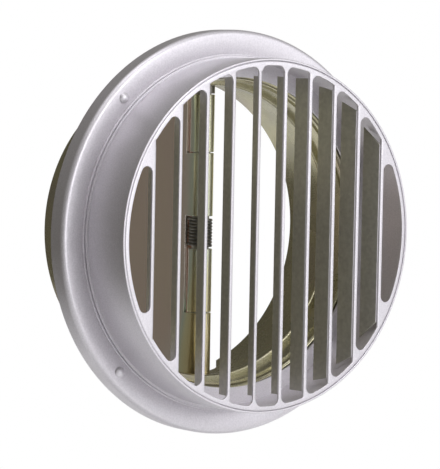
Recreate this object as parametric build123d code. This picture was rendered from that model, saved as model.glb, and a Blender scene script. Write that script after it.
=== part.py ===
from build123d import *
import math
import os

# Round vent cap with a two blade fire damper. Millimetres, Z up.
# The vent axis lies along Y, the louvre face looks towards minus Y.
# The wall plane is Y = 0, where the flange skirt ends, and the vent axis passes through the origin.

# Body sheet and hood
sheet = 1.0
face_y = -39.5
barrel_r = 83.0
barrel_edge = 0.6
step_y = -10.7

# Base flange
step_out = 1.0
ledge_out = 0.8
ledge_y = -9.6
ring_y = -9.0
ring_width = 2.5
cove = 15.0
cove_turn_deg = 26
rim_bend = 1.6
hole_lap = 0.1

# Louvre face
face_rim_depth = 7.0
face_bend = 1.2
face_ring = 3.3
end_slot = 13.172
slat_width = 1.9
slat_count = 10
slot_corner = 3.0
slot_corner_small = 1.0
fin_depth = 10.4
mid_fin_depth = 5.75
fin_lean_deg = (0, 2, 6, 11, 17)
fin_root_gap = 2.2
fin_free_gap = 2.0

# Rivets through flange and sleeve
rivet_r = 1.6
rivet_head_r = 2.25
rivet_head_h = 1.15
rivet_tail_r = 2.4
rivet_tail_h = 0.8
rivet_out = 4.9

# Damper sleeve
sleeve_sheet = 1.2
sleeve_r = 74.0
sleeve_end_y = 40.2
sleeve_bend = 2.0
sleeve_flange_gap = 3.5
drain_depth = 9.5
drain_half_in = 21.4
drain_half_out = 28.1
drain_corner = 2.5

# Stop ring inside the sleeve
stop_sheet = 0.8
stop_front_y = 6.2
stop_rear_y = 10.2
stop_leg_y = -3.6
stop_reach = 3.2

# Hinge and blades
axis_y = 16.5
pin_r = 4.15
knuckle_in_r = 4.2
blade_sheet = 1.6
blade_gap = 1.4
hinge_end_top = 7.7
hinge_end_low = 2.8
upper_split = 37.2
spring_top = 6.6
spring_low = -9.3
lower_split = -40.0
knuckle_gap = 0.3
notch_depth = 4.6
curl_gap = 0.8
curl_start = 0.5
tenon_r = 3.0
pin_head_r = 3.6
pin_head_h = 0.2
spacer_gap = 0.5

# Torsion spring
wire_r = 0.75
coil_r = 5.05
coil_pitch = 1.7
half_turns = 15
leg_x = 3.3
leg_end = 21.5

# Fusible link between the blades
link_sheet = 0.8
link_inset = 14.8
link_gap = 0.2
link_z = -4.0
link_half = 3.6
link_overlap = 2.5
link_tab = 4.5
link_slot_play = 0.4

# Sizes that follow from those above
step_top_r = barrel_r + step_out
step_foot_r = step_top_r + ledge_out
ring_out_r = step_foot_r + ring_width
cove_turn = math.radians(cove_turn_deg)
bend_x = ring_out_r + (cove + rim_bend) * math.sin(cove_turn)
flange_r = bend_x + rim_bend
flange_hole_r = sleeve_r - hole_lap
rivet_circle_r = step_foot_r + rivet_out
slot_r = barrel_r - face_ring
slat_pitch = 2 * (slot_r - end_slot) / (slat_count - 1)
sleeve_in_r = sleeve_r - sleeve_sheet
sleeve_flange_r = flange_r - sleeve_flange_gap
stop_in_r = sleeve_in_r - stop_reach
blade_r = sleeve_in_r - blade_gap
knuckle_r = knuckle_in_r + blade_sheet
hinge_top = sleeve_in_r - hinge_end_top
hinge_low = hinge_end_low - sleeve_in_r
spring_mid = (spring_top + spring_low) / 2
link_y = axis_y + blade_r - link_inset
# How far a cutting shape reaches past the sheet it cuts, and how close two points count as one
cut_over = 1.0
fuzz = 0.1


def outline(start, *steps):
    """Closed profile; a step of four numbers is an arc to x, y round the centre given after it."""
    edges, here = [], start
    for step in steps + (start,):
        end = step[:2]
        if len(step) == 2:
            edges.append(Line(here, end))
        else:
            cx, cy = step[2:]
            r = math.hypot(here[0] - cx, here[1] - cy)
            a0 = math.atan2(here[1] - cy, here[0] - cx)
            turn = math.atan2(end[1] - cy, end[0] - cx) - a0
            turn = (turn + math.pi) % (2 * math.pi) - math.pi
            mid = (cx + r * math.cos(a0 + turn / 2), cy + r * math.sin(a0 + turn / 2))
            edges.append(ThreePointArc(here, mid, end))
        here = end
    return make_face(edges)


def turned(face):
    return revolve(face, Axis.Y, 360)


def y_rod(r, y0, y1, x=0.0, z=0.0):
    return Pos(x, (y0 + y1) / 2, z) * Rot(90, 0, 0) * Cylinder(r, y1 - y0)


def z_rod(r, z0, z1, x=0.0, y=0.0):
    return Pos(x, y, (z0 + z1) / 2) * Cylinder(r, z1 - z0)


def block(x0, x1, y0, y1, z0, z1):
    return Pos((x0 + x1) / 2, (y0 + y1) / 2, (z0 + z1) / 2) * Box(x1 - x0, y1 - y0, z1 - z0)


rivet_xz = [(sx * rivet_circle_r * math.sqrt(0.5), sz * rivet_circle_r * math.sqrt(0.5))
            for sx in (-1, 1) for sz in (-1, 1)]

# Base flange: skirt, rounded rim, dished ring, two small steps up to the barrel
cove_cy = ring_y - cove
bend_cy = cove_cy + (cove + rim_bend) * math.cos(cove_turn)
back_y = ring_y + sheet
base_flange = turned(outline(
    (flange_r, 0),
    (flange_r, bend_cy),
    (bend_x - rim_bend * math.sin(cove_turn), bend_cy - rim_bend * math.cos(cove_turn), bend_x, bend_cy),
    (ring_out_r, ring_y, ring_out_r, cove_cy),
    (step_foot_r, ring_y),
    (step_foot_r, ledge_y),
    (step_top_r, ledge_y),
    (step_top_r, step_y),
    (flange_hole_r, step_y),
    (flange_hole_r, step_y + sheet),
    (step_top_r - sheet, step_y + sheet),
    (step_top_r - sheet, ledge_y + sheet),
    (step_foot_r - sheet, ledge_y + sheet),
    (step_foot_r - sheet, back_y),
    (ring_out_r, back_y),
    (bend_x - (rim_bend - sheet) * math.sin(cove_turn), bend_cy - (rim_bend - sheet) * math.cos(cove_turn),
     ring_out_r, cove_cy),
    (flange_r - sheet, bend_cy, bend_x, bend_cy),
    (flange_r - sheet, 0)))
for x, z in rivet_xz:
    base_flange -= y_rod(rivet_r, step_y, back_y + cut_over, x, z)

# Hood barrel standing on the raised step
hood_barrel = turned(outline(
    (barrel_r, step_y),
    (barrel_r, face_y + barrel_edge),
    (barrel_r - barrel_edge, face_y, barrel_r - barrel_edge, face_y + barrel_edge),
    (barrel_r - sheet, face_y),
    (barrel_r - sheet, step_y)))

# Louvre face: pressed disc with a rim and slots; each slot's sheet is bent back as a fin at its outer edge
face_r = barrel_r - sheet
louver_face = turned(outline(
    (face_r, face_y + face_rim_depth),
    (face_r, face_y + face_bend),
    (face_r - face_bend, face_y, face_r - face_bend, face_y + face_bend),
    (0, face_y),
    (0, face_y + sheet),
    (face_r - sheet, face_y + sheet),
    (face_r - sheet, face_y + face_rim_depth)))
slat_x = [(i - (slat_count - 1) / 2) * slat_pitch - slat_width / 2 for i in range(slat_count)]
slot_left = [-slot_r - cut_over] + [x + slat_width for x in slat_x]
slot_right = slat_x + [slot_r + cut_over]
cutter_plane = Plane.XZ.offset(-face_y - sheet - cut_over)
for left, right in zip(slot_left, slot_right):
    strip = Pos((left + right) / 2, 0) * Rectangle(right - left, 2 * slot_r)
    slot = Circle(slot_r) & strip
    near_x = min(abs(left), abs(right))
    tight = [v for v in slot.vertices() if abs(abs(v.X) - near_x) < fuzz]
    slot = fillet(tight, slot_corner)
    far_x = max(abs(left), abs(right))
    wide = [v for v in slot.vertices()
            if abs(abs(v.X) - far_x) < fuzz and abs(v.Y) > slot_corner
            and abs(math.hypot(v.X, v.Y) - slot_r) < fuzz]
    if len(wide) == 2:
        slot = fillet(wide, slot_corner_small)
    louver_face -= extrude(cutter_plane * slot, sheet + 2 * cut_over)


def slot_end(x, r, side):
    """Half length of a slot edge at x that ends in a corner of radius r on the given side."""
    return math.sqrt((slot_r - r) ** 2 - (x + side * r) ** 2)


# The right half's fins, each with its mirror image; the middle slot's sheet makes two half fins
for step, x in enumerate(slat_x[slat_count // 2:]):
    depth = fin_depth if step else mid_fin_depth
    root = slot_end(x, slot_corner_small if step else slot_corner, -1) - fin_root_gap
    free = slot_end(x - slat_pitch + slat_width, slot_corner, 1) - fin_free_gap
    flat = make_face(Polyline((x, -root), (x, root), (x - depth, free), (x - depth, -free), close=True))
    fin = extrude(Plane.XZ.offset(-face_y - sheet) * flat, sheet)
    fin = fin.rotate(Axis((x, face_y, 0), (0, 0, 1)), fin_lean_deg[step] - 90)
    louver_face += fin
    louver_face += mirror(fin, Plane.YZ)

# Dome head rivets holding flange and sleeve together
sleeve_front_y = back_y
sleeve_back_y = back_y + sleeve_sheet
dome_r = (rivet_head_r ** 2 + rivet_head_h ** 2) / (2 * rivet_head_h)
rivet = turned(outline(
    (0, ring_y - rivet_head_h),
    (rivet_head_r, ring_y, 0, ring_y - rivet_head_h + dome_r),
    (rivet_r, ring_y),
    (rivet_r, sleeve_back_y),
    (rivet_tail_r, sleeve_back_y),
    (rivet_tail_r, sleeve_back_y + rivet_tail_h),
    (0, sleeve_back_y + rivet_tail_h)))
flange_rivets = Compound(children=[(Pos(x, 0, z) * rivet - base_flange).solids()[0] for x, z in rivet_xz])

# Damper sleeve with its out turned flange, drain cut at the bottom of the rear end, pin holes
bend_r = sleeve_in_r + sleeve_bend
bend_y = sleeve_front_y + sleeve_bend
damper_sleeve = turned(outline(
    (sleeve_flange_r, sleeve_front_y),
    (bend_r, sleeve_front_y),
    (sleeve_in_r, bend_y, bend_r, bend_y),
    (sleeve_in_r, sleeve_end_y),
    (sleeve_r, sleeve_end_y),
    (sleeve_r, bend_y),
    (bend_r, sleeve_back_y, bend_r, bend_y),
    (sleeve_flange_r, sleeve_back_y)))
drain_y = sleeve_end_y - drain_depth
drain_slope = (drain_half_out - drain_half_in) / drain_depth
drain = make_face(Polyline(
    (-drain_half_in, drain_y), (drain_half_in, drain_y),
    (drain_half_out + drain_slope * cut_over, sleeve_end_y + cut_over),
    (-drain_half_out - drain_slope * cut_over, sleeve_end_y + cut_over),
    close=True))
drain = fillet([v for v in drain.vertices() if v.Y < sleeve_end_y], drain_corner)
damper_sleeve -= Pos(0, 0, -sleeve_r - cut_over) * extrude(drain, sleeve_r)
for x, z in rivet_xz:
    damper_sleeve -= y_rod(rivet_r, sleeve_front_y - cut_over, sleeve_back_y + cut_over, x, z)
damper_sleeve -= z_rod(tenon_r, -sleeve_r - cut_over, sleeve_r + cut_over, 0, axis_y)

# Stop ring: leg on the sleeve wall, web, lip turned back for the blades to rest on
stop_ring = turned(outline(
    (sleeve_in_r, stop_leg_y),
    (sleeve_in_r, stop_front_y + stop_sheet),
    (stop_in_r + stop_sheet, stop_front_y + stop_sheet),
    (stop_in_r + stop_sheet, stop_rear_y),
    (stop_in_r, stop_rear_y),
    (stop_in_r, stop_front_y + stop_sheet),
    (stop_in_r + stop_sheet, stop_front_y, stop_in_r + stop_sheet, stop_front_y + stop_sheet),
    (sleeve_in_r - stop_sheet, stop_front_y),
    (sleeve_in_r - stop_sheet, stop_leg_y)))

# Blades: half disc sheets with rolled knuckles, folded back side by side
left_knuckles = [(spring_top, upper_split - knuckle_gap), (hinge_low, lower_split - knuckle_gap)]
right_knuckles = [(upper_split + knuckle_gap, hinge_top), (lower_split + knuckle_gap, spring_low)]


def blade(side, knuckles, slot_y):
    """One blade; side is minus one for the left and plus one for the right."""
    half = Circle(blade_r) & Pos(blade_r, 0) * Rectangle(2 * blade_r, 2 * blade_r)
    ends = sorted(z for span in knuckles for z in span)
    gaps = [(-blade_r - cut_over, ends[0]), (ends[1], ends[2]), (ends[3], blade_r + cut_over)]
    for z0, z1 in gaps:
        half -= Pos((notch_depth - cut_over) / 2, (z0 + z1) / 2) * Rectangle(notch_depth + cut_over, z1 - z0)
    plate = extrude(Plane.YZ.offset(knuckle_in_r) * Pos(axis_y, 0) * half, blade_sheet)
    for z0, z1 in knuckles:
        roll = z_rod(knuckle_r, z0, z1, 0, axis_y) - z_rod(knuckle_in_r, z0, z1, 0, axis_y)
        roll -= block(knuckle_in_r - curl_gap, knuckle_in_r, axis_y + curl_start, axis_y + knuckle_r, z0, z1)
        plate += roll
    plate -= block(knuckle_in_r - cut_over, knuckle_r + cut_over, slot_y - link_slot_play,
                   slot_y + link_sheet + link_slot_play, link_z - link_half - link_slot_play,
                   link_z + link_half + link_slot_play)
    plate -= z_rod(knuckle_in_r, -blade_r, blade_r, 0, axis_y)
    return plate if side > 0 else mirror(plate, Plane.YZ)


left_link_y = link_y
right_link_y = link_y + link_sheet + link_gap
blade_left = blade(-1, left_knuckles, left_link_y)
blade_right = blade(1, right_knuckles, right_link_y)

# Hinge pin with tenons through the sleeve wall, staked over outside
bore = y_rod(sleeve_in_r, bend_y, sleeve_end_y)
wall = y_rod(sleeve_r, bend_y, sleeve_end_y)
hinge_pin = z_rod(pin_r, -sleeve_r, sleeve_r, 0, axis_y) & bore
hinge_pin += z_rod(tenon_r, -sleeve_r, sleeve_r, 0, axis_y)
hinge_pin += z_rod(pin_head_r, -sleeve_r - pin_head_h, sleeve_r + pin_head_h, 0, axis_y) - wall

# Spacers between the outer knuckles and the sleeve wall
spacers = []
for lo, hi in ((-sleeve_r, hinge_low - spacer_gap), (hinge_top + spacer_gap, sleeve_r)):
    tube = z_rod(knuckle_r, lo, hi, 0, axis_y) - z_rod(pin_r, lo, hi, 0, axis_y)
    spacers.append((tube & bore).solids()[0])
pin_spacers = Compound(children=spacers)

# Torsion spring: coil on the pin, one leg along the inside of each blade
# Each half turn is a tilted half ring that rises by half the pitch and runs on smoothly into the next
coil_half = coil_pitch * half_turns / 4
ring_r = math.hypot(coil_r, coil_pitch / 4)
wire = Pos(ring_r, 0) * Rot(90, 0, 0) * Circle(wire_r)
leg_turn = math.acos(leg_x / coil_r)
torsion_spring = Part()
for i in range(half_turns):
    side = 1 - 2 * (i % 2)
    low = spring_mid - coil_half + i * coil_pitch / 2
    out = Vector(side * coil_r, 0, -coil_pitch / 4)
    tilted = Plane((0, axis_y, low + coil_pitch / 4), x_dir=out, z_dir=out.cross(Vector(0, -side, 0)))
    torsion_spring += tilted * revolve(wire, Axis.Z, 180)
for sign, z in ((1, spring_mid - coil_half), (-1, spring_mid + coil_half)):
    points = [Vector(sign * coil_r * math.cos(t), axis_y + coil_r * math.sin(t), z)
              for t in (0, leg_turn / 2, leg_turn)]
    points.append(Vector(sign * leg_x, axis_y + leg_end, z))
    for a, b in zip(points, points[1:]):
        step = b - a
        torsion_spring += Plane(a, z_dir=step) * Pos(0, 0, step.length / 2) * Cylinder(wire_r, step.length)
        torsion_spring += Pos(*a) * Sphere(wire_r)

# Fusible link halves, each hooked on the outside of its own blade
z0, z1 = link_z - link_half, link_z + link_half
fuse_left = block(-knuckle_r - link_sheet, link_overlap, left_link_y, left_link_y + link_sheet, z0, z1)
fuse_left += block(-knuckle_r - link_sheet, -knuckle_r, left_link_y, left_link_y + link_tab, z0, z1)
fuse_right = block(-link_overlap, knuckle_r + link_sheet, right_link_y, right_link_y + link_sheet, z0, z1)
fuse_right += block(knuckle_r, knuckle_r + link_sheet, right_link_y + link_sheet - link_tab,
                    right_link_y + link_sheet, z0, z1)

os.makedirs("parts", exist_ok=True)
nodes = {
    "base_flange": base_flange,
    "hood_barrel": hood_barrel,
    "louver_face": louver_face,
    "flange_rivets": flange_rivets,
    "damper_sleeve": damper_sleeve,
    "stop_ring": stop_ring,
    "blade_left": blade_left,
    "blade_right": blade_right,
    "hinge_pin": hinge_pin,
    "pin_spacers": pin_spacers,
    "torsion_spring": torsion_spring,
    "fuse_left": fuse_left,
    "fuse_right": fuse_right,
}
for name, shape in nodes.items():
    export_step(shape, f"parts/{name}.step")
    box = shape.bounding_box()
    print(name, len(shape.solids()), round(shape.volume), box.min, box.max)
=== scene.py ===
# %% [markdown]
# # A round vent cap with a folding fire damper
# The real cap is a sheet metal hood: a ridged flange, a short barrel and a pressed louvre face,
# all sprayed satin silver. Behind it sits a damper sleeve in yellow zinc plate, with two half
# round leaves on a pin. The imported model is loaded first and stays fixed. The pin and its spacers
# stay as they were packed, and every other piece is drawn again with finer edges, at the sizes
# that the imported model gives.

# %% Load the fixed frame and keep its box
import math

import bmesh
import bpy
from mathutils import Matrix, Vector
from mathutils.geometry import tessellate_polygon


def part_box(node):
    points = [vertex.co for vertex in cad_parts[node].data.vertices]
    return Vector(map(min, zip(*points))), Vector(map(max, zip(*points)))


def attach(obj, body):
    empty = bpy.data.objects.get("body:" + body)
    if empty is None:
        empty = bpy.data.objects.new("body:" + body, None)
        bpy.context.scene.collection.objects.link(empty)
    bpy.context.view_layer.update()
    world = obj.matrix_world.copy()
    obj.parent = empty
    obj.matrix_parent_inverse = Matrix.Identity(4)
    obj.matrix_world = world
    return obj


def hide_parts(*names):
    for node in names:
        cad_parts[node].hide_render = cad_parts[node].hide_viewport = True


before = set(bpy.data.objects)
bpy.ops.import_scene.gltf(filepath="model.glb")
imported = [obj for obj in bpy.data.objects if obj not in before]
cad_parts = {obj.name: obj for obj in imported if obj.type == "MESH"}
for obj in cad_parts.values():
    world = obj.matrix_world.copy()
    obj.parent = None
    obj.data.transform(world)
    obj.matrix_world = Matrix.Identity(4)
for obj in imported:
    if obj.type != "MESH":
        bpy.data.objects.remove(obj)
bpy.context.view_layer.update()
mm = 0.001


def low(node, axis):
    """The low side of a node's box along one axis, in millimetres."""
    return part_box(node)[0]["xyz".index(axis)] / mm


def high(node, axis):
    """The high side of a node's box along one axis, in millimetres."""
    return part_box(node)[1]["xyz".index(axis)] / mm


# %% [markdown]
# ## Helpers for turned sheet
# Most pieces are sheet of even thickness, round about one axis. Such a piece is one line of points
# on the outside of the sheet, which is offset by the sheet's thickness, closed and spun round the
# vent axis. Spinning by hand gives even quads, which shade better than a boolean's triangles.

# %% Helpers for turned sheet
turn_steps = 288


def arc(cx, cy, radius, start_deg, end_deg, steps=8):
    """Points on an arc, ends included."""
    angles = [math.radians(start_deg + (end_deg - start_deg) * k / steps) for k in range(steps + 1)]
    return [(cx + radius * math.cos(a), cy + radius * math.sin(a)) for a in angles]


def offset_line(points, distance):
    """An open line moved sideways, to the left of its direction, with mitred corners."""
    line = [Vector(p) for p in points]
    moved = []
    for i, here in enumerate(line):
        before = (here - line[i - 1]).normalized() if i else None
        after = (line[i + 1] - here).normalized() if i + 1 < len(line) else None
        before, after = before or after, after or before
        left = Vector((-before.y - after.y, before.x + after.x)).normalized()
        moved.append(here + left * distance / left.dot(Vector((-after.y, after.x))))
    return moved


def sheet_outline(points, thickness):
    """Closed outline of a sheet whose outside follows the points."""
    return [Vector(p) for p in points] + offset_line(points, thickness)[::-1]


def spin(bm, outline, place=None):
    """Spins a closed outline of (radius, y) points round the vent axis."""
    rings = []
    for k in range(turn_steps):
        a = 2 * math.pi * k / turn_steps
        spots = [(r * math.sin(a), y, r * math.cos(a)) for r, y in outline]
        rings.append([bm.verts.new(Vector(place(p) if place else p) * mm) for p in spots])
    for k, near in enumerate(rings):
        far = rings[(k + 1) % turn_steps]
        for i in range(len(outline)):
            bm.faces.new((near[i - 1], near[i], far[i], far[i - 1]))


print("a turned piece has", turn_steps, "steps")

# %% [markdown]
# ## Helper for flat plate
# A flat piece is an outline with holes. The cut edge of real sheet is never quite sharp, and the
# thin line of light along it is what makes it look like sheet. So each outline becomes rings of
# quads that roll over the front edge and the back edge, and only the two flat sides are filled with
# triangles.

# %% Helper for flat plate
least_mitre = 0.5


def roll_plate(bm, loops, thickness, place, back_edge=0.15, steps=4):
    """Flat plate with rolled edges. The first loop is the outside, the others are holes.
    A loop is a list of (u, v, front edge radius); place turns (u, v, depth) into a point."""
    fronts, backs = [], []
    for number, loop in enumerate(loops):
        area = sum(a[0] * b[1] - b[0] * a[1] for a, b in zip(loop, loop[1:] + loop[:1]))
        if (area > 0) != (number == 0):
            loop = loop[::-1]
        rings = [[] for _ in range(2 * steps + 2)]
        for i, (u, v, edge) in enumerate(loop):
            here = Vector((u, v))
            before = (here - Vector(loop[i - 1][:2])).normalized()
            after = (Vector(loop[(i + 1) % len(loop)][:2]) - here).normalized()
            left = Vector((-before.y - after.y, before.x + after.x)).normalized()
            left /= max(least_mitre, left.dot(Vector((-after.y, after.x))))
            for k in range(steps + 1):
                turn = math.pi / 2 * k / steps
                front = here + left * edge * (1 - math.sin(turn))
                back = here + left * back_edge * (1 - math.cos(turn))
                back_depth = thickness - back_edge * (1 - math.sin(turn))
                rings[k].append((front.x, front.y, edge * (1 - math.cos(turn))))
                rings[steps + 1 + k].append((back.x, back.y, back_depth))
        made = [[bm.verts.new(Vector(place(*p)) * mm) for p in ring] for ring in rings]
        for near, far in zip(made, made[1:]):
            for i in range(len(near)):
                bm.faces.new((near[i - 1], near[i], far[i], far[i - 1]))
        fronts.append((rings[0], made[0]))
        backs.append((rings[-1], made[-1]))
    for side in (fronts, backs):
        corners = [v for _, made in side for v in made]
        flat = [[Vector((p[0], p[1], 0)) for p in ring] for ring, _ in side]
        for triangle in tessellate_polygon(flat):
            bm.faces.new([corners[i] for i in triangle])


# %% [markdown]
# ## From mesh data to a piece
# Every piece is finished in the same way. Its faces are turned outwards and shaded smooth up to an
# angle, and weighted normals keep a large flat side flat beside its small rounds. Then the piece is
# tied to the body that it moves with, and the imported piece that it replaces is hidden.

# %% From mesh data to a piece
smooth_angle = math.radians(32)


def finish_piece(name, bm, body, *replaced):
    """Makes the object from its mesh data, shades it and ties it to a body of the frame."""
    bmesh.ops.recalc_face_normals(bm, faces=bm.faces)
    mesh = bpy.data.meshes.new(name)
    bm.to_mesh(mesh)
    bm.free()
    mesh.shade_smooth()
    mesh.set_sharp_from_angle(angle=smooth_angle)
    piece = bpy.data.objects.new(name, mesh)
    bpy.context.scene.collection.objects.link(piece)
    piece.modifiers.new("even_normals", "WEIGHTED_NORMAL").keep_sharp = True
    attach(piece, body)
    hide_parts(*replaced)
    print(name, len(mesh.polygons), "faces")
    return piece


# %% [markdown]
# ## Base flange
# The flange is one pressed sheet: a skirt that meets the wall, a rounded rim, a gently domed ring
# for the rivets and two small steps up to the barrel, with a fine groove at the foot of each. Its
# front is one line from the skirt to the hole and its back another, so the closed outline of both
# is spun. The steps have small rounds, because a pressed corner catches a thin line of light.

# %% Base flange: sizes
sheet = 1.0
flange_r = high("base_flange", "x")
barrel_r = high("hood_barrel", "x")
step_y = low("base_flange", "y")
face_y = low("hood_barrel", "y")
step_out = 1.0
ledge_out = 0.8
step_top_r = barrel_r + step_out
step_foot_r = step_top_r + ledge_out
ledge_y = -9.6
crest_y = -9.7
dome_r = 32.0
dome_in_deg = 14.5
dome_out_deg = 2
rim_r = 2.4
hole_r = 73.9
step_edge = 0.2
groove = 0.45
foot_groove_width = 0.3
top_groove_width = 0.25
top_groove_mouth = 0.35
rim_cx = flange_r - rim_r
dome_cx = rim_cx - (dome_r - rim_r) * math.sin(math.radians(dome_out_deg))
dome_cy = crest_y + dome_r
rim_cy = dome_cy - (dome_r - rim_r) * math.cos(math.radians(dome_out_deg))
foot_y = dome_cy - math.sqrt(dome_r ** 2 - (dome_cx - step_foot_r - step_edge) ** 2)
print("ring meets the step at radius", round(step_foot_r, 2), "and y", round(foot_y, 2))

# %% [markdown]
# The front line runs inwards from the skirt: rim, dome, first groove and step, second groove and
# step. The back line returns one sheet thickness behind it. It stays plain, because nobody sees it
# once the cap is on the wall.

# %% Base flange: outline
dome_start, dome_end = dome_out_deg - 90, -90 - dome_in_deg
front = [(flange_r, 0.0)] + arc(rim_cx, rim_cy, rim_r, 0, dome_start, 18)
front += arc(dome_cx, dome_cy, dome_r, dome_start, dome_end, 24)[1:]
front += [(step_foot_r + foot_groove_width, foot_y + groove), (step_foot_r, foot_y + groove)]
front += arc(step_foot_r - step_edge, ledge_y + step_edge, step_edge, 0, -90, 4)
front += [(step_top_r + top_groove_mouth, ledge_y), (step_top_r + top_groove_width, ledge_y + groove)]
front += [(step_top_r, ledge_y + groove)]
front += arc(step_top_r - step_edge, step_y + step_edge, step_edge, 0, -90, 4) + [(hole_r, step_y)]
rear = [(hole_r, step_y + sheet), (step_top_r - sheet, step_y + sheet)]
rear += [(step_top_r - sheet, ledge_y + sheet), (step_foot_r - sheet, ledge_y + sheet)]
rear += [(step_foot_r - sheet, foot_y + sheet)]
rear += arc(dome_cx, dome_cy, dome_r - sheet, dome_end, dome_start, 24)
rear += arc(rim_cx, rim_cy, rim_r - sheet, dome_start, 0, 8)[1:] + [(flange_r - sheet, 0.0)]
bm = bmesh.new()
spin(bm, front + rear)
base_flange = finish_piece("base_flange_sheet", bm, "housing", "base_flange")

# %% [markdown]
# ## Hood barrel
# The barrel is a plain rolled cylinder. Its front edge is only eased, and the louvre face sits
# inside it, so a thin bright line shows round the face.

# %% Hood barrel
outer_edge = 0.45
inner_edge = 0.25
barrel_line = [(barrel_r, step_y)]
barrel_line += arc(barrel_r - outer_edge, face_y + outer_edge, outer_edge, 0, -90, 5)
barrel_line += arc(barrel_r - sheet + inner_edge, face_y + inner_edge, inner_edge, -90, -180, 4)
barrel_line += [(barrel_r - sheet, step_y)]
bm = bmesh.new()
spin(bm, barrel_line)
hood_barrel = finish_piece("hood_barrel_sheet", bm, "housing", "hood_barrel")

# %% [markdown]
# ## Louvre slots
# The face is pressed from one disc. Each slot's metal is not cut away: it is bent back at the edge
# of the slot that lies further from the middle, and becomes a fin. The bend leaves that edge softly
# rounded, so the edge radius is larger along it. The slots are drawn for the right half and
# mirrored, and the middle slot makes two half fins.

# %% Louvre slots
face_ring = 3.3
slot_r = barrel_r - face_ring
end_slot = 13.172
slat_count = 10
slat_width = 1.9
slat_pitch = 2 * (slot_r - end_slot) / (slat_count - 1)
slat_x = [(i - (slat_count - 1) / 2) * slat_pitch - slat_width / 2 for i in range(slat_count)]
right_slats = slat_x[slat_count // 2:]
big_corner = 3.0
small_corner = 1.0
cut_edge = 0.2
bend_edge = 0.85
on_edge = 0.05
arc_step = 60


def slot_corner(x, radius, inward):
    """Corner from a slot's straight edge at x to the slot circle."""
    cx = x + inward * radius
    cz = math.sqrt((slot_r - radius) ** 2 - cx ** 2)
    end = math.degrees(math.atan2(cz, cx))
    return arc(cx, cz, radius, 180 if inward > 0 else 0, end, 8)


def slot_half(left, right):
    """The upper half of a slot's outline from its left edge to its right edge."""
    top = slot_corner(left, big_corner, 1)
    down = [(slot_r, 0.0)]
    if right:
        down = slot_corner(right, small_corner if left > 0 else big_corner, -1)[::-1]
    a, b = (math.degrees(math.atan2(z, x)) for x, z in (top[-1], down[0]))
    return top + arc(0, 0, slot_r, a, b, max(4, int((a - b) * slot_r / arc_step)))[1:-1] + down


def slot_loop(left, right):
    """A whole slot with the radius of its edge at each point: softer where the fin is bent back."""
    top = slot_half(left, right)
    points = top + [(x, -z) for x, z in reversed(top) if z]
    bends = [] if not right else [right] if left > 0 else [left, right]
    return [(x, z, bend_edge if any(abs(x - b) < on_edge for b in bends) else cut_edge) for x, z in points]


right_slots = [slot_loop(x + slat_width, x + slat_pitch) for x in right_slats[:-1]]
right_slots.append(slot_loop(right_slats[-1] + slat_width, None))
slots = [slot_loop(-right_slats[0], right_slats[0])] + right_slots
slots += [[(-x, z, edge) for x, z, edge in loop] for loop in right_slots]
print("slots", len(slots), "pitch", round(slat_pitch, 3))

# %% [markdown]
# ## Louvre plate and rim
# The slotted disc has a short rim turned back inside the barrel, which holds the face in place. The
# disc is one rolled plate with eleven holes, and the rim is a spun strip that starts just inside
# the disc's back, so no gap shows at the bend.

# %% Louvre plate and rim
face_r = barrel_r - sheet
face_rim = 7.0
face_edge = 0.95
rim_lap = 0.1
bm = bmesh.new()
rim_circle = [(x, z, face_edge) for x, z in arc(0, 0, face_r, 0, 360, turn_steps)[:-1]]
roll_plate(bm, [rim_circle] + slots, sheet, lambda x, z, depth: (x, face_y + depth, z))
rim_start, rim_end = face_y + sheet - rim_lap, face_y + face_rim
spin(bm, [(face_r, rim_start), (face_r, rim_end), (face_r - sheet, rim_end), (face_r - sheet, rim_start)])
print("face radius", round(face_r, 2), "rim", face_rim)

# %% [markdown]
# ## Fins
# The fins are the slots' own metal, bent back at a right angle or a little more. They lean in more
# toward the sides, and all but the two half fins reach equally deep, so a leaning fin is longer.
# Each one is a rolled plate with slanted ends, added to the face's mesh, because on the real face
# it is the same sheet.

# %% Fins
fin_reach = 9.4
mid_fin_reach = 5.75
fin_lean_deg = (0, 6.3, 10.6, 15.5, 20.2)
fin_start = 0.85
fin_edge = 0.2
root_gap = 2.2
free_gap = 2.0


def slot_end(x, radius, inward):
    """Half length of a slot's straight edge."""
    return math.sqrt((slot_r - radius) ** 2 - (x + inward * radius) ** 2)


for step, x in enumerate(right_slats):
    lean = math.radians(fin_lean_deg[step])
    depth = (fin_reach if step else mid_fin_reach) / math.cos(lean)
    root = slot_end(x, small_corner if step else big_corner, -1) - root_gap
    free = slot_end(x - slat_pitch + slat_width, big_corner, 1) - free_gap
    corners = ((fin_start, -root), (depth, -free), (depth, free), (fin_start, root))
    for side in (-1, 1):

        def fin_place(s, z, thick):
            back = s * math.cos(lean) + thick * math.sin(lean)
            return side * (x - s * math.sin(lean) + thick * math.cos(lean)), face_y + back, z

        roll_plate(bm, [[(s, z, fin_edge) for s, z in corners]], sheet, fin_place, fin_edge)
louver_face = finish_piece("louver_face_sheet", bm, "housing", "louver_face")

# %% [markdown]
# ## Rivets
# Four dome headed rivets hold the flange to the damper sleeve behind it. A dome is a cap of a
# sphere, so its outline is an arc, spun round the rivet's own axis. A short upright edge under the
# dome gives the head a fine shadow line.

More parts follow.
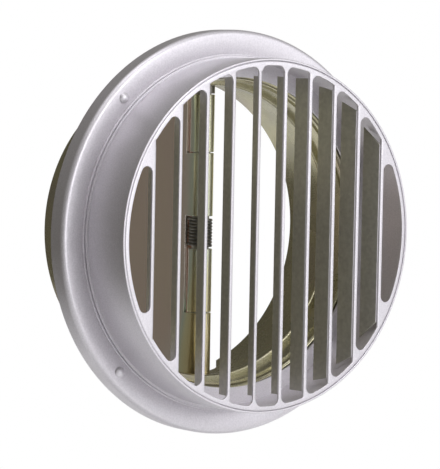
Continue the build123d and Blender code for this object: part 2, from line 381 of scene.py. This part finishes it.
# %% Rivets
rivet_ring_r = step_foot_r + 4.9
rivet_steps = 40
head_r = 2.5
head_h = 1.0
head_wall = 0.45
head_y = 0.1
shank_r = 1.6
tail_r = 2.4
tail_y = 2.9
tail_h = 0.8
merge = 0.005
ball_r = (head_r ** 2 + head_h ** 2) / (2 * head_h)
ball_turn = math.degrees(math.asin(head_r / ball_r))
dome = arc(0, 0, ball_r, -90, ball_turn - 90, 8)
rivet_line = [(x, y + head_y - head_wall + ball_r - head_h) for x, y in dome]
rivet_line += [(head_r, head_y), (shank_r, head_y), (shank_r, tail_y), (tail_r, tail_y)]
rivet_line += [(tail_r, tail_y + tail_h), (0.0, tail_y + tail_h)]
bm = bmesh.new()
for sx in (-1, 1):
    for sz in (-1, 1):
        cx, cz = (s * rivet_ring_r * math.sqrt(0.5) for s in (sx, sz))
        rings = []
        for k in range(rivet_steps):
            a = 2 * math.pi * k / rivet_steps
            spots = [(cx + r * math.sin(a), crest_y + y, cz + r * math.cos(a)) for r, y in rivet_line]
            rings.append([bm.verts.new(Vector(spot) * mm) for spot in spots])
        for k, near in enumerate(rings):
            far = rings[(k + 1) % rivet_steps]
            for i in range(1, len(rivet_line)):
                bm.faces.new((near[i - 1], near[i], far[i], far[i - 1]))
bmesh.ops.remove_doubles(bm, verts=bm.verts, dist=merge * mm)
flange_rivets = finish_piece("flange_rivet_heads", bm, "housing", "flange_rivets")

# %% [markdown]
# ## Damper sleeve
# The sleeve is a zinc plated tube with a flange turned out at its front and a drain cut at the
# bottom of its open end. It is spun like the other turned pieces, and the drain is made by moving
# the points of the open end forward there, which keeps the sheet's thickness and the even quads.

# %% Damper sleeve
sleeve_sheet = 1.2
sleeve_front_y = low("damper_sleeve", "y")
sleeve_end_y = high("damper_sleeve", "y")
sleeve_flange_r = high("damper_sleeve", "x")
sleeve_in_r = high("stop_ring", "x")
sleeve_bend = 2.0
drain_depth = 9.5
drain_half_in = 21.4
drain_half_out = 28.1
end_zone = 0.5
tube_rings = (sleeve_end_y - drain_depth - end_zone, 20.0, 0.0)


def drain_cut(spot):
    """Moves the sleeve's open end forward where the drain is cut, at the bottom."""
    x, y, z = spot
    if y < sleeve_end_y - end_zone or z > 0:
        return spot
    slope = (drain_half_out - abs(x)) / (drain_half_out - drain_half_in)
    return x, y - drain_depth * min(1.0, max(0.0, slope)), z


sleeve_line = [(sleeve_in_r, sleeve_end_y)] + [(sleeve_in_r, y) for y in tube_rings]
sleeve_line += arc(sleeve_in_r + sleeve_bend, sleeve_front_y + sleeve_bend, sleeve_bend, 180, 270, 6)
sleeve_line += [(sleeve_flange_r, sleeve_front_y)]
bm = bmesh.new()
spin(bm, sheet_outline(sleeve_line, sleeve_sheet), drain_cut)
damper_sleeve = finish_piece("damper_sleeve_tube", bm, "housing", "damper_sleeve")

# %% [markdown]
# ## Stop ring
# A second bent strip lies inside the sleeve. Its lip is turned back, and the shut leaves rest on
# it. The strip is one line with one bend, offset by its thickness and spun.

# %% Stop ring
stop_sheet = 0.8
stop_bend = 0.9
stop_reach = 3.2
stop_front_y = 6.2
stop_rear_y = high("stop_ring", "y")
stop_leg_y = low("stop_ring", "y")
stop_in_r = sleeve_in_r - stop_reach
stop_line = [(sleeve_in_r - stop_sheet, stop_leg_y), (sleeve_in_r - stop_sheet, stop_front_y)]
stop_line += arc(stop_in_r + stop_bend, stop_front_y + stop_bend, stop_bend, 270, 180, 5)
stop_line += [(stop_in_r, stop_rear_y)]
bm = bmesh.new()
spin(bm, sheet_outline(stop_line, -stop_sheet))
stop_ring = finish_piece("stop_ring_strip", bm, "housing", "stop_ring")

# %% [markdown]
# ## Hinge layout
# The straight edge of each leaf is rolled into knuckles round the pin. The knuckles of the two
# leaves alternate from the bottom to the top, with a space in the middle for the spring. The layout
# is written down once, as spans of height, because both leaves and the spring depend on it.

# %% Hinge layout
axis_y = 16.5
knuckle_in_r = 4.2
leaf_sheet = 1.6
knuckle_r = knuckle_in_r + leaf_sheet
leaf_gap = 1.4
leaf_r = sleeve_in_r - leaf_gap
hinge_top = sleeve_in_r - 7.7
hinge_low = 2.8 - sleeve_in_r
upper_split = 37.2
spring_top = 6.6
spring_low = -9.3
lower_split = -40.0
knuckle_gap = 0.3
spans = {
    -1: [(hinge_low, lower_split - knuckle_gap), (spring_top, upper_split - knuckle_gap)],
    1: [(lower_split + knuckle_gap, spring_low), (upper_split + knuckle_gap, hinge_top)],
}
print("hinge from", round(hinge_low, 1), "to", round(hinge_top, 1))

# %% [markdown]
# ## Damper leaves
# Each leaf is a half disc of thicker plate. The plate has notches where the other leaf's knuckles
# turn, and a slit near its far edge for the fusible link. A knuckle is the same sheet rolled almost
# once round the pin, so its section is a ring with a gap, drawn as a plate as thick as the knuckle
# is long.

# %% Damper leaves
notch = 4.6
leaf_edge = 0.2
hole_edge = 0.1
curl_end_deg = -318
curl_steps = 40
link_sheet = 0.8
link_y = axis_y + leaf_r - 14.8
link_z = -4.0
link_half = 3.6
link_gap = 0.2
link_play = 0.4
link_back_y = link_y + link_sheet + link_gap


def leaf(name, side, slot_y, body, *replaced):
    """One leaf; side is minus one for the left and plus one for the right."""
    bm = bmesh.new()
    (a, b), (c, d) = spans[side]
    tip = math.sqrt(leaf_r ** 2 - notch ** 2)
    straight = [(notch, tip), (notch, d), (0, d), (0, c), (notch, c)]
    straight += [(notch, b), (0, b), (0, a), (notch, a), (notch, -tip)]
    start = math.degrees(math.atan2(-tip, notch))
    round_edge = arc(0, 0, leaf_r, start, -start, 72)[1:-1]
    loop = [(s, z, leaf_edge) for s, z in straight + round_edge]
    s0, s1 = slot_y - link_play - axis_y, slot_y + link_sheet + link_play - axis_y
    z0, z1 = link_z - link_half - link_play, link_z + link_half + link_play
    hole = [(s, z, hole_edge) for s, z in ((s0, z0), (s1, z0), (s1, z1), (s0, z1))]

    def place(s, z, depth):
        return side * (knuckle_r - depth), axis_y + s, z

    roll_plate(bm, [loop, hole], leaf_sheet, place, leaf_edge)
    curl = arc(0, 0, knuckle_r, 0, curl_end_deg, curl_steps)
    curl += arc(0, 0, knuckle_in_r, curl_end_deg, 0, curl_steps)
    section = [(side * x, axis_y + y, leaf_edge) for x, y in curl]
    for z0, z1 in spans[side]:

        def knuckle_place(u, v, depth, z1=z1):
            return u, v, z1 - depth

        roll_plate(bm, [section], z1 - z0, knuckle_place, leaf_edge, 2)
    return finish_piece(name, bm, body, *replaced)


leaf_left = leaf("leaf_left_plate", -1, link_y, "left_leaf", "blade_left")
leaf_right = leaf("leaf_right_plate", 1, link_back_y, "right_leaf", "blade_right")

# %% [markdown]
# ## Torsion spring
# The spring is wound closely on the pin between the knuckles, and its two legs press the leaves
# apart. A curve with a round bevel is the natural way to draw wire, and it is turned into a mesh
# like the other pieces. A leg follows the leaf that it presses, so each leg is a piece of its own
# that rides on its leaf, while the coil stays with the housing.

# %% Torsion spring: wire
wire_r = 0.75
wire_rounding = 5


def wire_mesh(route):
    """A round wire along a line of points, as mesh data."""
    curve = bpy.data.curves.new("wire_draft", "CURVE")
    curve.dimensions = "3D"
    curve.bevel_depth = wire_r * mm
    curve.bevel_resolution = wire_rounding
    curve.use_fill_caps = True
    line = curve.splines.new("POLY")
    line.points.add(len(route) - 1)
    for point, spot in zip(line.points, route):
        point.co = (*(Vector(spot) * mm), 1)
    wire = bpy.data.objects.new("wire_draft", curve)
    bpy.context.scene.collection.objects.link(wire)
    bpy.context.view_layer.update()
    bm = bmesh.new()
    bm.from_mesh(bpy.data.meshes.new_from_object(wire))
    bpy.data.objects.remove(wire)
    return bm


print("wire", 2 * wire_r, "mm thick")

# %% [markdown]
# The route of the coil is a helix, with a short flat lead at each end that brings the wire to the
# place where its leg starts. The legs are straight and run a little into the coil's ends.

# %% Torsion spring: coil and legs
coil_r = 5.05
coil_pitch = 1.53
coil_turns = 8.5
coil_steps = 32
lead_steps = 4
leg_x = 3.3
leg_end = 21.5
leg_overlap = 0.4
spring_mid = (spring_top + spring_low) / 2
coil_low = spring_mid - coil_pitch * coil_turns / 2
leg_turn = math.acos(leg_x / coil_r)
coil_count = int(coil_turns * coil_steps)
route = []
for k in range(-lead_steps, coil_count + lead_steps + 1):
    wound = min(max(k, 0), coil_count)
    a = -2 * math.pi * wound / coil_steps
    a -= leg_turn * (k - wound) / lead_steps
    z = coil_low + coil_pitch * wound / coil_steps
    route.append((coil_r * math.cos(a), axis_y + coil_r * math.sin(a), z))
torsion_spring = finish_piece("torsion_spring_coil", wire_mesh(route), "housing", "torsion_spring")
spring_legs = []
for body, (x, y, z) in (("right_leaf", route[0]), ("left_leaf", route[-1])):
    leg = [(x, y - leg_overlap, z), (x, axis_y + leg_end, z)]
    spring_legs.append(finish_piece("spring_leg_" + body.split("_")[0], wire_mesh(leg), body))

# %% [markdown]
# ## Fusible link
# The link is two small brass tabs that hook through the leaves and overlap; solder between them
# melts in a fire and lets the spring shut the damper. A tab is a bent strip, so its bent outline is
# drawn from above and given the strip's width as its thickness.

# %% Fusible link
link_overlap = 2.5
link_tab = 4.5
link_edge = 0.12
outer = knuckle_r + link_sheet
fuse_halves = (("fuse_left", -1, link_y, "left_leaf"), ("fuse_right", 1, link_back_y, "right_leaf"))
fuse_tabs = []


def link_place(u, v, depth):
    """A point of a tab from its outline and its depth below the tab's upper side."""
    return u, v, link_z + link_half - depth


for name, side, y, body in fuse_halves:
    y0, y1 = (y, y + link_sheet) if side < 0 else (y + link_sheet, y)
    tab_end = y0 - side * link_tab
    hook = [(-link_overlap, y0), (-link_overlap, y1), (outer, y1), (outer, tab_end)]
    hook += [(outer + link_sheet, tab_end), (outer + link_sheet, y0)]
    bm = bmesh.new()
    roll_plate(bm, [[(side * u, v, link_edge) for u, v in hook]], 2 * link_half, link_place, link_edge, 2)
    fuse_tabs.append(finish_piece(name + "_tab", bm, body, name))

# %% [markdown]
# ## Helpers for finishes
# A finish starts as a Principled material with its own metal share and roughness, and then it is
# given to pieces.

# %% Helpers for finishes


def new_finish(name, metallic, roughness):
    """A Principled material, its nodes and its shader, with the gloss set on the shader itself."""
    material = bpy.data.materials.new(name)
    material.use_nodes = True
    shader = material.node_tree.nodes["Principled BSDF"]
    shader.inputs["Metallic"].default_value = metallic
    shader.inputs["Roughness"].default_value = roughness
    return material, material.node_tree, shader


def coat(finish, slot_name, *pieces):
    """Gives pieces a finish; the record's slot name is not used."""
    for piece in pieces:
        piece.data.materials.clear()
        piece.data.materials.append(finish)
    print(finish.name, "on", len(pieces), "pieces")


# %% [markdown]
# ## Noise and colour
# No metal is one flat colour. Paint holds fine flakes, and a plated film changes its tint from
# place to place. A noise texture in the piece's own coordinates, read through a colour ramp, gives
# both, and it stays on the piece when a leaf turns. A second noise changes the roughness a little,
# so that highlights break up as they do on real sheet.

# %% Noise and colour
noise_from = 0.3
noise_to = 0.7


def noise(tree, scale, detail=2.0, distortion=0.0, stretch=(1, 1, 1)):
    """Noise in the piece's own coordinates; the scale counts waves in a metre."""
    place = tree.nodes.new("ShaderNodeTexCoord")
    mapping = tree.nodes.new("ShaderNodeMapping")
    mapping.inputs["Scale"].default_value = stretch
    texture = tree.nodes.new("ShaderNodeTexNoise")
    texture.inputs["Scale"].default_value = scale
    texture.inputs["Detail"].default_value = detail
    texture.inputs["Distortion"].default_value = distortion
    tree.links.new(place.outputs["Object"], mapping.inputs["Vector"])
    tree.links.new(mapping.outputs["Vector"], texture.inputs["Vector"])
    return texture.outputs["Fac"]


def colours(tree, value, stops):
    """A colour ramp; the stops are (place, colour)."""
    ramp = tree.nodes.new("ShaderNodeValToRGB")
    points = ramp.color_ramp.elements
    while len(points) < len(stops):
        points.new(0.5)
    for point, (spot, colour) in zip(points, stops):
        point.position = spot
        point.color = (*colour, 1)
    tree.links.new(value, ramp.inputs["Fac"])
    return ramp.outputs["Color"]


def spread(tree, value, low_end, high_end):
    """Noise mapped onto a range."""
    scaled = tree.nodes.new("ShaderNodeMapRange")
    scaled.inputs["From Min"].default_value = noise_from
    scaled.inputs["From Max"].default_value = noise_to
    scaled.inputs["To Min"].default_value = low_end
    scaled.inputs["To Max"].default_value = high_end
    tree.links.new(value, scaled.inputs["Value"])
    return scaled.outputs["Result"]


def grain(tree, shader, value, strength, height):
    """Fine bumps from a noise; the height is in metres."""
    bump = tree.nodes.new("ShaderNodeBump")
    bump.inputs["Strength"].default_value = strength
    bump.inputs["Distance"].default_value = height
    tree.links.new(value, bump.inputs["Height"])
    tree.links.new(bump.outputs["Normal"], shader.inputs["Normal"])


# %% [markdown]
# ## Satin silver paint
# The hood is aluminium sheet under satin silver paint: fine bright flakes and a soft sheen. Part
# metal and part paint is right for it, because the flakes mirror the room while the binder between
# them scatters light. The rivets are painted with the flange.

# %% Satin silver paint
silver, tree, shader = new_finish("satin_silver_paint", 0.6, 0.44)
flake = colours(tree, noise(tree, 1500, 3), [(0.3, (0.675, 0.652, 0.685)), (0.7, (0.79, 0.763, 0.80))])
tree.links.new(flake, shader.inputs["Base Color"])
tree.links.new(spread(tree, noise(tree, 60), 0.4, 0.48), shader.inputs["Roughness"])
grain(tree, shader, noise(tree, 1100), 0.12, 0.0002)
coat(silver, "silver_sheet", base_flange, hood_barrel, louver_face)
coat(silver, "rivet_metal", flange_rivets)

# %% [markdown]
# ## Painted shade on the fins
# The fins lie in the slots' shade and mirror the dark room and the zinc behind them. So a darker
# olive grey is painted on them as painted shade, in place of the full silver. The fins are part of
# the face's mesh: they get a second material on every polygon that lies behind the plate and inside
# the face's rim.

# %% Painted shade on the fins
fin_shade_paint, tree, shader = new_finish("painted_fin_shade", 0.7, 0.4)
# The olive grey is painted shade for the fins in the slots, not a paint of their own.
fin_shade_colour = colours(tree, noise(tree, 500, 3), [(0.3, (0.53, 0.52, 0.46)), (0.7, (0.64, 0.63, 0.555))])
tree.links.new(fin_shade_colour, shader.inputs["Base Color"])
louver_face.data.materials.append(fin_shade_paint)
fin_front_y = face_y + 1.1
fin_polygons = [p for p in louver_face.data.polygons
                if p.center.y / mm > fin_front_y and math.hypot(p.center.x, p.center.z) / mm < slot_r]
for polygon in fin_polygons:
    polygon.material_index = 1
print("fin polygons", len(fin_polygons))

# %% [markdown]
# ## Yellow zinc plate
# The damper is steel in zinc plate with a yellow chromate film. The film's thickness drifts, and
# its tint with it, from grey through olive and straw to a faint rose, in broad soft clouds. A
# distorted noise of few waves makes the clouds, and a five colour ramp gives the tints.

# %% Yellow zinc plate
zinc, tree, shader = new_finish("yellow_zinc_plate", 0.9, 0.25)
film = colours(tree, noise(tree, 18, 3, 0.8), [
    (0.28, (0.36, 0.345, 0.28)), (0.42, (0.39, 0.37, 0.255)), (0.54, (0.45, 0.42, 0.28)),
    (0.64, (0.41, 0.37, 0.285)), (0.74, (0.375, 0.375, 0.315)),
])
tree.links.new(film, shader.inputs["Base Color"])
tree.links.new(spread(tree, noise(tree, 90), 0.2, 0.32), shader.inputs["Roughness"])
grain(tree, shader, noise(tree, 900), 0.06, 0.0002)
coat(zinc, "zinc_sleeve", damper_sleeve, stop_ring)

# %% [markdown]
# ## Leaf plate
# The leaves have the same plating on rolled plate: rose brown on the flat, and a play of colour
# round the knuckles and toward the bottom. Round the knuckles the pale yellow and green is partly
# the film's own tint and partly a painted highlight where the curls catch the lamps. Toward the
# bottom the pink and gold is partly the film's own tint and partly a painted reflection that
# lightens the low end. The distance from the pin and the height are added to the noise before the
# ramp, so the tints lie in bands that the noise makes uneven.

# %% Leaf plate
zinc_leaf, tree, shader = new_finish("zinc_leaf_plate", 0.9, 0.24)
place = tree.nodes.new("ShaderNodeTexCoord")
split = tree.nodes.new("ShaderNodeSeparateXYZ")
tree.links.new(place.outputs["Object"], split.inputs["Vector"])


def band(tree, value, start, end, depth):
    """A share of the film that grows from nought at the start to the depth at the end, in metres."""
    share = tree.nodes.new("ShaderNodeMapRange")
    share.inputs["From Min"].default_value = start
    share.inputs["From Max"].default_value = end
    share.inputs["To Max"].default_value = depth
    tree.links.new(value, share.inputs["Value"])
    return share.outputs["Result"]


def combine(tree, operation, first, second):
    """A math node's result from two links."""
    step = tree.nodes.new("ShaderNodeMath")
    step.operation = operation
    tree.links.new(first, step.inputs[0])
    tree.links.new(second, step.inputs[1])
    return step.outputs[0]


# Near the pin: film tint plus a painted highlight on the knuckles. Low end: film tint plus a painted
# reflection.
film_and_highlight_near_pin = band(tree, split.outputs["Y"], 0.027, 0.0145, 0.42)
low_film_and_reflection = band(tree, split.outputs["Z"], -0.01, -0.07, 0.2)
film = spread(tree, noise(tree, 22, 1.5, 0.6, (1, 1, 0.5)), 0.05, 0.28)
for share in (low_film_and_reflection, film_and_highlight_near_pin):
    film = combine(tree, "ADD", film, share)
bands = colours(tree, film, [
    (0.05, (0.96, 0.86, 0.72)), (0.20, (0.97, 0.82, 0.76)), (0.36, (0.98, 0.90, 0.86)),
    (0.48, (0.82, 0.92, 0.82)), (0.60, (0.98, 0.96, 0.66)), (0.85, (0.96, 0.80, 0.44)),
])
tree.links.new(bands, shader.inputs["Base Color"])
tree.links.new(spread(tree, noise(tree, 120, 2, 0, (1, 1, 0.2)), 0.17, 0.27), shader.inputs["Roughness"])
coat(zinc_leaf, "zinc_blade", leaf_left, leaf_right)

# %% [markdown]
# ## Pin, spring and link metals
# Three small finishes: drawn steel with streaks along the pin, dark oiled spring wire, and brass
# with a faint tarnish. They differ only in their metal share, their roughness, the grain of the
# noise and two colours, so one table holds them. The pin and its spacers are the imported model's own
# pieces, which need only a material.

# %% Pin, spring and link metals
pin_pieces = [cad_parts["hinge_pin"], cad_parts["pin_spacers"]]
metals = (
    ("drawn_pin_steel", "pin_steel", pin_pieces, 0.95, 0.3, (700, 2, 0, (1, 1, 0.03)),
     [(0.3, (0.42, 0.41, 0.37)), (0.7, (0.58, 0.57, 0.52))]),
    ("dark_spring_wire", "spring_steel", [torsion_spring] + spring_legs, 0.9, 0.34, (400,),
     [(0.35, (0.16, 0.155, 0.14)), (0.65, (0.28, 0.27, 0.24))]),
    ("tarnished_brass", "link_brass", fuse_tabs, 1.0, 0.34, (250, 3),
     [(0.35, (0.5, 0.38, 0.18)), (0.65, (0.68, 0.55, 0.28))]),
)
for name, slot_name, pieces, metallic, roughness, waves, stops in metals:
    metal, tree, shader = new_finish(name, metallic, roughness)
    tree.links.new(colours(tree, noise(tree, *waves), stops), shader.inputs["Base Color"])
    coat(metal, slot_name, *pieces)

# %% [markdown]
# ## Camera
# The camera stands where the photographer stood: about 36 degrees to the left of the face, a
# little above it, and far off with a long lens, so the circles stay nearly true.

# %% Camera
view_azimuth = math.radians(-36.206)
view_elevation = math.radians(3.542)
view_roll = math.radians(1.1006)
view_distance = 1279.9
view_target = Vector((-29.22, face_y, 1.55))
image_long_side = 469
focal_px = 2780.68
sensor = 36.0

back = Vector((
    math.sin(view_azimuth) * math.cos(view_elevation),
    -math.cos(view_azimuth) * math.cos(view_elevation),
    math.sin(view_elevation),
))
level = Vector((math.cos(view_azimuth), math.sin(view_azimuth), 0))
upright = back.cross(level)
right = level * math.cos(view_roll) + upright * math.sin(view_roll)
up = back.cross(right)
camera_data = bpy.data.cameras.new("camera")
camera_data.sensor_width = sensor
camera_data.lens = focal_px * sensor / image_long_side
camera_data.clip_start = 0.05
camera = bpy.data.objects.new("camera", camera_data)
bpy.context.scene.collection.objects.link(camera)
turn = Matrix((right, up, back)).transposed().to_4x4()
camera.matrix_world = Matrix.Translation((view_target + back * view_distance) * mm) @ turn
bpy.context.scene.camera = camera
print("lens", round(camera_data.lens, 2), "mm, camera", round(view_distance), "mm from its target")

# %% [markdown]
# ## Studio room
# A metal piece looks like what it mirrors, so the room matters as much as the lamps. The room is
# white in front, below and to the right, and darker above and behind to the left, as beside a black
# flag in a studio. The camera sees plain white. Mirror rays see the room at full strength, and the
# soft light that the room gives is weaker, so that the lamps still model the shapes.

# %% Studio room
scene = bpy.context.scene
scene.view_settings.view_transform = "Standard"
dark_side = Vector((-0.55, 0.45, 0.7)).normalized()
dark_colour = (0.16, 0.151, 0.126)
light_colour = (0.88, 0.88, 0.89)
dark_from = -0.55
dark_to = 0.32
diffuse_level = 0.1


def ray_flag(tree, *kinds):
    """One for the kinds of ray that are named, and nought for others."""
    rays = tree.nodes.new("ShaderNodeLightPath")
    flag = rays.outputs[kinds[0]]
    for kind in kinds[1:]:
        flag = combine(tree, "MAXIMUM", flag, rays.outputs[kind])
    return flag


world = bpy.data.worlds.new("studio")
scene.world = world
world.use_nodes = True
tree = world.node_tree
direction = tree.nodes.new("ShaderNodeTexCoord")
side = tree.nodes.new("ShaderNodeVectorMath")
side.operation = "DOT_PRODUCT"
side.inputs[1].default_value = dark_side
tree.links.new(direction.outputs["Generated"], side.inputs[0])
fade = tree.nodes.new("ShaderNodeMapRange")
fade.interpolation_type = "SMOOTHSTEP"
fade.inputs["From Min"].default_value = dark_from
fade.inputs["From Max"].default_value = dark_to
tree.links.new(side.outputs["Value"], fade.inputs["Value"])
tint = colours(tree, fade.outputs["Result"], [(0, light_colour), (1, dark_colour)])
strength = tree.nodes.new("ShaderNodeMapRange")
strength.inputs["To Min"].default_value = diffuse_level
tree.links.new(ray_flag(tree, "Is Glossy Ray", "Is Transmission Ray"), strength.inputs["Value"])
room = tree.nodes["Background"]
tree.links.new(tint, room.inputs["Color"])
tree.links.new(strength.outputs["Result"], room.inputs["Strength"])
white = tree.nodes.new("ShaderNodeBackground")
white.inputs["Color"].default_value = (1, 1, 1, 1)
seen = tree.nodes.new("ShaderNodeMixShader")
tree.links.new(ray_flag(tree, "Is Camera Ray"), seen.inputs["Fac"])
tree.links.new(room.outputs[0], seen.inputs[1])
tree.links.new(white.outputs[0], seen.inputs[2])
tree.links.new(seen.outputs[0], tree.nodes["World Output"].inputs["Surface"])
print("world", world.name, "with", len(tree.nodes), "nodes")

# %% [markdown]
# ## Lamps
# A tall soft box stands in front, a little to the right and above, and a large one hangs over the
# cap. A low one and one at the side only lift the shadows. The barrel then shades the left of the
# flange, while the flange's rim stays bright.

# %% Lamps
lamp_colour = (0.97, 0.97, 1.0)
lamps = (
    ("key_box", (0.28, -1.6, 0.45), (0.6, 1.0), 9.5),
    ("low_box", (0.1, -1.5, -0.15), (1.2, 0.4), 1.4),
    ("side_box", (1.05, -1.35, 0.45), (0.9, 0.9), 2.4),
    ("top_box", (-0.3, -0.5, 1.45), (1.5, 1.0), 12),
)
for name, spot, size, power in lamps:
    light = bpy.data.lights.new(name, "AREA")
    light.shape = "RECTANGLE"
    light.size, light.size_y = size
    light.energy = power
    light.color = lamp_colour
    lamp = bpy.data.objects.new(name, light)
    lamp.location = spot
    lamp.rotation_euler = (-Vector(spot)).to_track_quat("-Z", "Y").to_euler()
    scene.collection.objects.link(lamp)
    print(name, power, "W")

# %% [markdown]
# ## Floor
# The cap hangs on a wall, so the floor lies well below it. It is pale and glows to plain white away
# from the cap, so that only a soft shadow is left on it. Mirror rays see the same glow as the
# camera, and the glow adds no other light.

# %% Floor
floor_z = -0.8
floor_half = 1.3
shadow_glow = 0.55
glow_from = 0.3
glow_to = 1.1
floor_mesh = bpy.data.meshes.new("floor")
corners = [(x * floor_half, y * floor_half, 0) for x, y in ((-1, -1), (1, -1), (1, 1), (-1, 1))]
floor_mesh.from_pydata(corners, [], [(0, 1, 2, 3)])
floor = bpy.data.objects.new("floor", floor_mesh)
floor.location.z = floor_z
scene.collection.objects.link(floor)
pale, tree, shader = new_finish("pale_floor", 0.0, 0.8)
shader.inputs["Base Color"].default_value = (0.85, 0.85, 0.85, 1)
shader.inputs["Emission Color"].default_value = (1, 1, 1, 1)
spot = tree.nodes.new("ShaderNodeTexCoord")
reach = tree.nodes.new("ShaderNodeVectorMath")
reach.operation = "LENGTH"
tree.links.new(spot.outputs["Object"], reach.inputs[0])
glow = tree.nodes.new("ShaderNodeMapRange")
glow.interpolation_type = "SMOOTHSTEP"
glow.inputs["From Min"].default_value = glow_from
glow.inputs["From Max"].default_value = glow_to
glow.inputs["To Min"].default_value = shadow_glow
tree.links.new(reach.outputs["Value"], glow.inputs["Value"])
shown = ray_flag(tree, "Is Camera Ray", "Is Glossy Ray", "Is Transmission Ray")
tree.links.new(combine(tree, "MULTIPLY", glow.outputs["Result"], shown), shader.inputs["Emission Strength"])
floor.data.materials.append(pale)
print("floor at", floor_z, "m")
